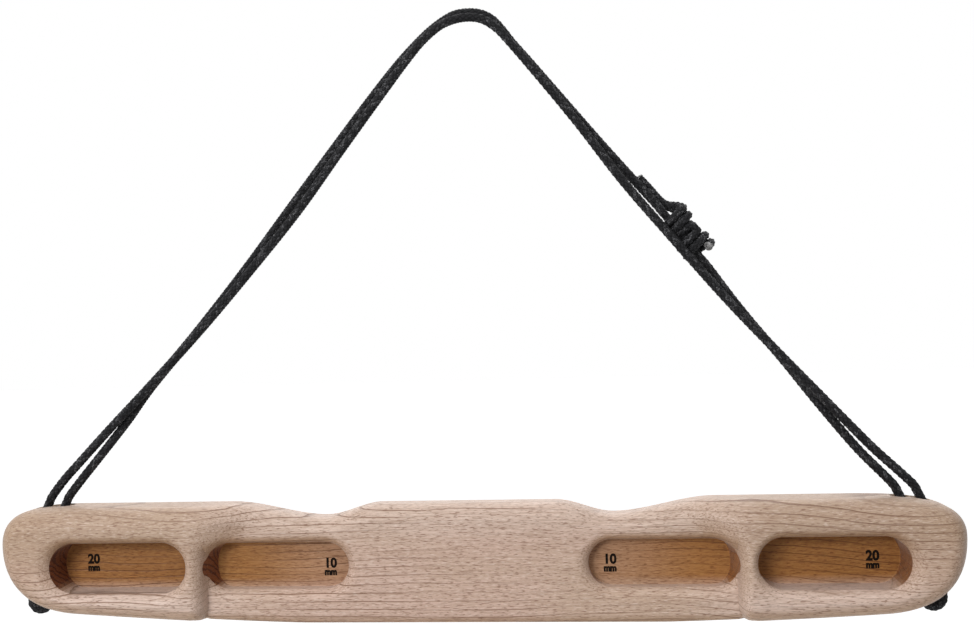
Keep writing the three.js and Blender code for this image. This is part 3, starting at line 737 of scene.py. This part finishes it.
def board_loop(sign, u, share):
    """One closed loop round the board: down its front, then up its back."""
    top, top_out, low, low_out = station(sign, u, share)
    middle = 1 - smooth((top[0] - DIP_AT) / (STEP_AT - DIP_AT))
    under = 1 - clamp01((low[0] - STEP_AT + STEP_WIDTH) / STEP_WIDTH)
    tip = smooth(share)
    top_in, top_deep = edge_size(TOP_REACH, middle, tip), edge_size(TOP_DEPTH, middle, tip)
    low_in, low_deep = edge_size(LOW_REACH, under, tip), edge_size(LOW_DEPTH, under, tip)
    back_deep = mix(BACK_ROUND, BACK_TIP_DEPTH, tip)
    loop = []

    def add(point, out, inset, depth_of):
        along, height = point - out * inset
        loop.append((sign * along, depth_of(along, height), height))

    def front(depth):
        return lambda along, height: front_depth(along, height) + depth

    def back(depth):
        return lambda along, height: THICKNESS - depth

    quarter = np.linspace(0, math.pi / 2, EDGE_STEPS)
    for a in quarter[::-1]:
        add(top, top_out, top_in * (1 - math.sin(a)), front(top_deep * (1 - math.cos(a))))
    start, end = top - top_out * top_in, low - low_out * low_in
    for k in np.linspace(0, 1, FACE_STEPS)[1:-1]:
        add(mix(start, end, k), low_out, 0, front(0))
    for a in quarter:
        add(low, low_out, low_in * (1 - math.sin(a)), front(low_deep * (1 - math.cos(a))))
    for a in quarter[::-1]:
        add(low, low_out, BACK_ROUND * (1 - math.sin(a)), back(back_deep * (1 - math.cos(a))))
    for a in quarter:
        add(top, top_out, BACK_ROUND * (1 - math.sin(a)), back(back_deep * (1 - math.cos(a))))
    return loop


# Places of the loops: even in the middle, closer at the step, even on the blocks and closer at the tips
spots = [(u, 0) for u in np.linspace(0, STEP_AT - STEP_WIDTH, 70)]
spots += [(STEP_AT - STEP_WIDTH * math.cos(a), 0) for a in np.linspace(0, math.pi / 2, 14)[1:]]
spots += [(u, 0) for u in np.linspace(STEP_AT, SHOULDER_AT, 26)[1:]]
spots += [(SHOULDER_AT, math.sin(math.pi / 2 * k) ** TIP_CROWDING) for k in np.linspace(0, 1, 46)[1:]]
right = [board_loop(1, u, share) for u, share in spots]
left = [board_loop(-1, u, share) for u, share in spots[1:]]
loops = left[::-1] + right
print(len(loops), "loops of", len(loops[0]), "points")

# %% [markdown]
# ## The pockets and the cord holes
# A router cuts the pockets and rounds their rims, and a drill makes the holes. Both could be pulled out of
# the loft face by face. Cutters are simpler and exact: each is a stack of rings. A pocket's rings flare over
# the rim, drop straight and end in a small fillet at the floor. A hole's rings flare at both mouths.

# %% Meshes from rings
WELD, SLIVER = 0.002, 0.001


def ring_mesh(name, rings, closed_ends=True):
    """A mesh through rings of equal length."""
    count, last = len(rings[0]), (len(rings) - 1) * len(rings[0])
    faces = []
    for r in range(len(rings) - 1):
        for i in range(count):
            a, b = r * count + i, r * count + (i + 1) % count
            faces.append((a, b, b + count, a + count))
    if closed_ends:
        faces += [tuple(range(count))[::-1], tuple(range(last, last + count))]
    mesh = bpy.data.meshes.new(name)
    mesh.from_pydata([tuple(point) for ring in rings for point in ring], [], faces)
    return mesh


def board_piece(name, rings, closed_ends=True):
    """An object through rings in the board's own millimetres, welded, with all its faces turned outwards."""
    piece = add_object(name, ring_mesh(name, (np.array(rings, float) + BOARD_PLACE) * MM, closed_ends))
    shape = bmesh.new()
    shape.from_mesh(piece.data)
    bmesh.ops.remove_doubles(shape, verts=shape.verts, dist=WELD * MM)
    bmesh.ops.dissolve_degenerate(shape, edges=shape.edges, dist=SLIVER * MM)
    bmesh.ops.recalc_face_normals(shape, faces=shape.faces)
    shape.to_mesh(piece.data)
    shape.free()
    return piece


print("meshes from rings, points closer than", WELD, "mm welded")

# %% Cutters
SHALLOW_HALF, POCKET_FLOOR, FLOOR_FILLET, CUT_START = 12.2, 20, 0.8, -2
RIM_TOP, RIM_BOTTOM, RIM_DROP, RIM_TURN = 4.5, 7, 4, math.radians(60)
ARC_STEPS, SIDE_STEPS, HOLE_STEPS = 20, 28, 40
POCKETS = {
    "deep": dict(start=146.9, end=221.4, half=POCKET_HALF, lowered=0, rim_start=3.9, rim_end=8, draft=2),
    "shallow": dict(start=62.4, end=138.2, half=SHALLOW_HALF, lowered=1, rim_start=6, rim_end=1, draft=3.4),
}
# How far a hole's lower end is under the middle of the pockets, and its flare: place from a mouth and radius
INNER_FOOT, OUTER_FOOT = 20, 13.5
HOLE_FLARE = [(-3.6, 6.55), (0, 4.75), (1.8, 3.4), (3.6, 2.95)]


def pocket_cutter(name, sign, start, end, half, lowered, rim_start, rim_end, draft):
    """A stadium from start to end that flares over the rim; its far wall leans in by the draft."""
    near, far = start + half, end - half
    outline = []
    for centre, other, side in ((far, near, 1), (near, far, -1)):
        for i in range(ARC_STEPS):
            a = math.pi * i / ARC_STEPS - side * math.pi / 2
            outline.append((centre, math.cos(a), math.sin(a)))
        outline += [(mix(centre, other, k / SIDE_STEPS), 0, side) for k in range(SIDE_STEPS)]

    def ring(offset_of, depth_of):
        rows = []
        for x, ox, oz in outline:
            rim = mix(RIM_TOP if oz > 0 else RIM_BOTTOM, rim_end if ox > 0 else rim_start, ox * ox)
            reach = half + offset_of(rim, ox)
            u, w = x + ox * reach, oz * reach - lowered
            rows.append((sign * u, depth_of(u, w, rim), w))
        return rows

    rings = [ring(lambda rim, ox: rim, lambda u, w, rim: CUT_START)]
    for a in np.linspace(0, RIM_TURN, 9):
        inward, sunk = math.sin(a) / math.sin(RIM_TURN), (1 - math.cos(a)) / (1 - math.cos(RIM_TURN))
        rings.append(ring(lambda rim, ox: rim * (1 - inward),
                          lambda u, w, rim: front_depth(u, w) + min(rim, RIM_DROP) * sunk))
    for a in np.linspace(0, math.pi / 2, 5):
        rings.append(ring(lambda rim, ox: -FLOOR_FILLET * (1 - math.cos(a)) - draft * max(0, ox) ** 2,
                          lambda u, w, rim: POCKET_FLOOR - FLOOR_FILLET * (1 - math.sin(a))))
    return board_piece(name, rings)


def hole_cutter(name, sign, mouth, foot):
    length = (mouth[2] + foot) / math.cos(HOLE_LEAN)
    profile = HOLE_FLARE + [(length - along, radius) for along, radius in HOLE_FLARE[::-1]]
    side = np.array([0, 1, 0])
    turns = [2 * math.pi * i / HOLE_STEPS for i in range(HOLE_STEPS)]
    rings = []
    for along, radius in profile:
        centre = mouth + hole_down * along
        rings.append([(centre + radius * (hole_across * math.cos(a) + side * math.sin(a))) * (sign, 1, 1)
                      for a in turns])
    return board_piece(name, rings)


cutters = []
for sign, word in ((1, "right"), (-1, "left")):
    cutters += [pocket_cutter(f"cut_{depth}_{word}", sign, **sizes) for depth, sizes in POCKETS.items()]
    cutters.append(hole_cutter("cut_inner_" + word, sign, inner_mouth, INNER_FOOT))
    cutters.append(hole_cutter("cut_outer_" + word, sign, outer_mouth, OUTER_FOOT))
print(len(cutters), "cutters")

# %% [markdown]
# ## Carve the board
# The cutters are taken from the loft, as the tools take wood from the blank. A voxel remesh would join it all
# with less care, but it softens every crisp line and weighs more. So exact booleans are used. Edges sharper
# than 17 degrees stay crisp. Elsewhere the shading follows the large faces, so slivers beside a cut don't
# show.

# %% Carve
CRISP_ANGLE, FACE_WEIGHT = math.radians(17), 90
sharp = board_piece("board_sharp", loops, closed_ends=False)
for cutter in cutters:
    cut = sharp.modifiers.new(cutter.name, "BOOLEAN")
    cut.operation = "DIFFERENCE"
    cut.solver = "EXACT"
    cut.object = cutter
carved = evaluated_mesh(sharp)
carved.shade_smooth()
carved.set_sharp_from_angle(angle=CRISP_ANGLE)
board = add_object("board_wood", carved)
weigh = board.modifiers.new("weigh", "WEIGHTED_NORMAL")
weigh.keep_sharp = True
weigh.weight = FACE_WEIGHT
board_mesh = evaluated_mesh(board)
board.modifiers.clear()
board.data = board_mesh
for extra in cutters + [sharp]:
    bpy.data.objects.remove(extra)
print("board:", len(board_mesh.polygons), "faces")

# %% [markdown]
# ## Beech
# Beech is pale and pinkish, with growth layers that end in a thin darker line and short dark flecks along the
# grain. The pockets are left as the router cut them, not sanded, so they are darker and more orange, and
# walls that cross the grain look scorched. Both also carry painted shade: the pockets are darkened less
# towards their floors' lower edges and in the inner parts of the shallow pockets, and the end walls more on
# the left half of the board. A photographed plank would repeat and stretch. Here the layers are real shells
# in space that the shape cuts through, so the lines bend round the rims by themselves. The mesh stores, face
# by face, how far it faces along the grain, whether it lies in a pocket and out of the light from above, and
# whether it faces down, where the wood gets painted shade.

# %% Store which faces cross the grain, lie in a pocket or face down
WALL_MARGIN, FLOOR_MARGIN = 0.15, 0.5
count = len(board_mesh.polygons)
normals, centres = np.empty(count * 3, np.float32), np.empty(count * 3, np.float32)
board_mesh.polygons.foreach_get("normal", normals)
board_mesh.polygons.foreach_get("center", centres)
normals, centres = normals.reshape(-1, 3), centres.reshape(-1, 3) / MM - BOARD_PLACE
pocket_faces_in_shade = np.zeros(count, np.float32)
for sizes in POCKETS.values():
    along = np.abs(centres[:, 0])
    past = along - along.clip(sizes["start"] + sizes["half"], sizes["end"] - sizes["half"])
    inside = np.hypot(past, centres[:, 2] + sizes["lowered"]) < sizes["half"] + WALL_MARGIN
    inside &= centres[:, 1] < POCKET_FLOOR + FLOOR_MARGIN
    # Pocket faces that turn up get less of the pocket colour, as painted light, since light from above falls
    # on them.
    pocket_faces_in_shade[inside] = 1 - ((normals[inside, 2] - 0.68) / 0.3).clip(0, 1)
face_values = {
    "end_grain": np.abs(normals[:, 0]) ** 1.5,
    "pocket_faces_in_shade": pocket_faces_in_shade,
    # Faces that turn down, outside the pockets, get painted shade.
    "painted_underside_shade": np.where(pocket_faces_in_shade > 0, 0, (-1.4 * normals[:, 2] - 0.15).clip(0, 1)),
}
for name, values in face_values.items():
    layer = board_mesh.attributes.new(name, "FLOAT", "FACE")
    layer.data.foreach_set("value", values.astype(np.float32))
print(int(pocket_faces_in_shade.sum()), "of", count, "faces lie in the pockets")

# %% Beech material
PITH_BACK, PITH_BELOW, RING_WIDTH, RIPPLE_WIDTH = 0.05, 0.80, 0.0037, 0.0036


def growth_rings(tree, place):
    """The thin dark end of each growth layer, from 0 to 1, the slow wobble it follows and the coordinates."""
    drift = noise(tree, place, (1, 2, 2), 4.5, 2)
    wobble = noise(tree, place, (1, 3, 3), 20, 3, 0.55)
    spot = split(tree, place)
    back = calc(tree, "POWER", calc(tree, "SUBTRACT", spot[1], PITH_BACK), 2.0)
    up = calc(tree, "POWER", calc(tree, "ADD", spot[2], PITH_BELOW), 2.0)
    radius = calc(tree, "SQRT", calc(tree, "ADD", back, up))
    for value, share in ((spot[0], 0.012), (drift, 0.030), (wobble, 0.0030)):
        radius = calc(tree, "MULTIPLY_ADD", value, share, radius)
    ring = calc(tree, "FRACT", times(tree, radius, 1 / RING_WIDTH))
    late = times(tree, remap(tree, ring, 0.80, 0.97), remap(tree, ring, 1.0, 0.985))
    faint = noise(tree, place, (1, 4, 4), 9, 2)
    return times(tree, late, remap(tree, faint, 0.36, 0.6, 0.15, 1.0)), wobble, spot


def pocket_colour_and_shade(tree, colour, spot, wobble, from_middle):
    """The colour with its pockets more orange and in painted shade, and scorched in ripples, with painted
    shade as well, where their ends cross the grain.
    """
    pocket, across = stored(tree, "pocket_faces_in_shade"), stored(tree, "end_grain")
    colour = blend_colour(tree, times(tree, across, 0.2), colour, (0.42, 0.27, 0.17, 1))
    # Painted shade on top of the pockets' own darker tone: weaker towards the floors' lower edges and in the
    # inner parts of the shallow pockets.
    pocket_tone_and_shade = times(tree, pocket, remap(tree, spot[2], -0.2895, -0.2950, 1.0, 0.55))
    pocket_tone_and_shade = times(tree, pocket_tone_and_shade, remap(tree, from_middle, 0.065, 0.125, 0.68, 1.0))
    colour = blend_colour(tree, pocket_tone_and_shade, colour, (0.61, 0.37, 0.125, 1), "MULTIPLY")
    slanted = calc(tree, "MULTIPLY_ADD", spot[2], 0.7, times(tree, spot[1], 0.7))
    ripple = times(tree, slanted, 2 * math.pi / RIPPLE_WIDTH)
    ripple = calc(tree, "SINE", calc(tree, "MULTIPLY_ADD", wobble, 30.0, ripple))
    burnt, tanned = (0.085, 0.018, 0.006, 1), (0.20, 0.060, 0.018, 1)
    scorched_and_shaded = blend_colour(tree, remap(tree, ripple, 0.9, -0.1), burnt, tanned)
    # Painted shade on the end walls as well as their scorch: full on the left half of the board, half on the
    # right.
    end_wall_scorch_and_shade = times(tree, pocket, remap(tree, across, 0.25, 0.75))
    end_wall_scorch_and_shade = times(tree, end_wall_scorch_and_shade, remap(tree, spot[0], -0.02, 0.05, 1.0, 0.5))
    return blend_colour(tree, end_wall_scorch_and_shade, colour, scorched_and_shaded)


def beech_material():
    material, tree, shader = new_material("beech")
    place = object_place(tree)
    late, wobble, spot = growth_rings(tree, place)
    fibre = noise(tree, place, (55, 1500, 1500), 1, 4, 0.65)
    streak = noise(tree, place, (14, 420, 420), 1, 3, 0.6)
    rays = noise(tree, place, (320, 2100, 2100), 1, 1)
    ray, shine = remap(tree, rays, 0.57, 0.68), remap(tree, rays, 0.41, 0.30)
    cloud = noise(tree, place, (1, 3, 3), 9, 3)
    from_middle = calc(tree, "ABSOLUTE", calc(tree, "ADD", spot[0], -BOARD_PLACE[0] * MM))
    outer, tips = remap(tree, from_middle, 0.10, 0.16), remap(tree, from_middle, 0.205, 0.245)
    # Painted shade and light over the wood's own tone: the outer blocks darker and yellower towards the top,
    # over the pockets' upper rims that face down, and paler towards the bottom, over their lower rims that
    # face up.
    high = times(tree, outer, remap(tree, spot[2], -0.292, -0.262))
    low = times(tree, outer, remap(tree, spot[2], -0.285, -0.305))
    crown = times(tree, calc(tree, "SUBTRACT", 1.0, outer), remap(tree, spot[2], -0.275, -0.258))
    colour = blend_colour(tree, remap(tree, cloud, 0.3, 0.7), (0.60, 0.438, 0.335, 1), (0.66, 0.47, 0.385, 1))
    # Where each tint lies, how strong it is there and the tint itself, from the lowest layer to the topmost
    layers = [
        (high, 0.75, (0.48, 0.345, 0.245, 1)),
        (low, 0.9, (0.80, 0.63, 0.55, 1)),
        (crown, 0.8, (0.72, 0.56, 0.47, 1)),
        (remap(tree, streak, 0.35, 0.75), 0.30, (0.42, 0.27, 0.185, 1)),
        (remap(tree, fibre, 0.42, 0.68), 0.55, (0.37, 0.235, 0.16, 1)),
        (shine, 0.42, (0.82, 0.69, 0.61, 1)),
        (ray, 0.72, (0.25, 0.135, 0.085, 1)),
        (late, 1.0, (0.22, 0.12, 0.07, 1)),
    ]
    for where, strength, tint in layers:
        colour = blend_colour(tree, times(tree, where, strength), colour, tint)
    # Painted shade: faces that turn down are darker and yellower.
    colour = blend_colour(tree, stored(tree, "painted_underside_shade"), colour, (0.80, 0.67, 0.50, 1), "MULTIPLY")
    colour = blend_colour(tree, tips, colour, (0.95, 0.93, 0.89, 1), "MULTIPLY")
    colour = pocket_colour_and_shade(tree, colour, spot, wobble, from_middle)
    add_bump(tree, shader, calc(tree, "SUBTRACT", fibre, calc(tree, "ADD", ray, late)), 0.5)
    gloss = remap(tree, fibre, 0.3, 0.7, 0.42, 0.6)
    surface(tree, shader, colour, gloss, specular=0.28, sheen=0.25, sheen_roughness=0.35)
    return material


beech = beech_material()
board_mesh.materials.clear()
board_mesh.materials.append(beech)
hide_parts("board")
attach(board, "board")
print("material", beech.name, "with", len(beech.node_tree.nodes), "nodes")

# %% [markdown]
# ## Depth marks
# Each pocket floor has its depth burnt in: a number and its unit. The mark could be part of the wood's
# material, but letters are hard to draw with nodes. Blender's own font makes them, as flat meshes a hair
# above the floor.

# %% Depth marks
STROKE, HAIR, UNIT_DROP = 0.32, 0.04, 4.6
NUMBER_SIZE, NUMBER_WIDTH, UNIT_SIZE, UNIT_WIDTH = 6.9, 0.95, 4.8, 0.88
DEPTH_MARKS = ((-203.7, 1.9, "20"), (-73.5, -1.2, "10"), (73.5, -0.2, "10"), (205.5, 0.5, "20"))


def burnt_material():
    material, tree, shader = new_material("burnt_mark")
    char = noise(tree, object_place(tree), (300, 1500, 1500), 1, 3, 0.6)
    dark, light = (0.005, 0.004, 0.003, 1), (0.018, 0.010, 0.007, 1)
    surface(tree, shader, blend_colour(tree, remap(tree, char, 0.35, 0.7), dark, light), 0.9, specular=0.1)
    return material


def floor_mark(name, words, size, width, place, material):
    """Words as a flat mesh that faces forwards; width is the share of the font's own width."""
    text = bpy.data.curves.new(name, "FONT")
    text.body = words
    text.size = size * MM
    text.offset = STROKE * MM
    text.align_x, text.align_y = "CENTER", "CENTER"
    carrier = add_object(name + "_text", text)
    mesh = evaluated_mesh(carrier)
    bpy.data.objects.remove(carrier)
    upright = Matrix.Rotation(math.pi / 2, 4, "X")
    mesh.transform(Matrix.Translation(place) @ upright @ Matrix.Diagonal((width, 1, 1, 1)))
    mesh.materials.clear()
    mesh.materials.append(material)
    mark = add_object(name, mesh)
    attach(mark, "board")


burnt = burnt_material()
for x, height, number in DEPTH_MARKS:
    place = Vector((np.array([x, POCKET_FLOOR - HAIR, height]) + BOARD_PLACE) * MM)
    below = place - Vector((0, 0, UNIT_DROP * MM))
    side = "left" if x < 0 else "right"
    floor_mark(f"depth_{number}_{side}", number, NUMBER_SIZE, NUMBER_WIDTH, place, burnt)
    floor_mark(f"unit_{number}_{side}", "mm", UNIT_SIZE, UNIT_WIDTH, below, burnt)
print("marks on", len(DEPTH_MARKS), "pocket floors")

# %% [markdown]
# ## Melted cord ends
# Nylon cord is cut and melted at its ends so that it doesn't fray, which leaves a small hard dome. The tube
# could simply be capped flat, but the pale end is one of the few bright spots on the cord, so it gets its own
# dome, a few rings with a slightly uneven edge.

# %% Melted ends
DOME_SIDES, DOME_RINGS, END_POINTS = 24, 7, 6
FOOT_WIDTH_SHARE, DOME_WIDTH_SHARE, DOME_HEIGHT_SHARE = 0.98, 1.02, 0.22


def melted_material():
    material, tree, shader = new_material("melted_cord")
    spots = noise(tree, object_place(tree), (1, 1, 1), 900, 3, 0.6)
    dark, light = (0.04, 0.04, 0.042, 1), (0.30, 0.295, 0.29, 1)
    surface(tree, shader, blend_colour(tree, remap(tree, spots, 0.35, 0.65), dark, light), 0.35)
    return material


def melted_end(name, route, material):
    """A flat dome that caps the end of a route."""
    tip = Vector(route[-1])
    way = (tip - Vector(route[-END_POINTS])).normalized()
    rings = []
    for a in np.linspace(0, math.pi / 2, DOME_RINGS)[:-1]:
        radius = SOFT_CORD * MM * 0.5 * (DOME_WIDTH_SHARE * math.cos(a) if a else FOOT_WIDTH_SHARE)
        height = SOFT_CORD * MM * DOME_HEIGHT_SHARE * math.sin(a)
        ring = []
        for i in range(DOME_SIDES):
            b = 2 * math.pi * i / DOME_SIDES
            reach = radius * (1 + 0.05 * math.sin(3 * b + 1) + 0.03 * math.sin(5 * b))
            ring.append((reach * math.cos(b), reach * math.sin(b), height))
        rings.append(ring)
    mesh = ring_mesh(name, rings)
    mesh.transform(Matrix.Translation(tip) @ way.to_track_quat("Z", "Y").to_matrix().to_4x4())
    mesh.shade_smooth()
    mesh.materials.append(material)
    cap = add_object(name, mesh)
    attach(cap, "sling")


melted = melted_material()
melted_end("melted_short_tail", smooth_routes["knot_lower"], melted)
melted_end("melted_long_tail", smooth_routes["knot_upper"], melted)
print("two melted ends")
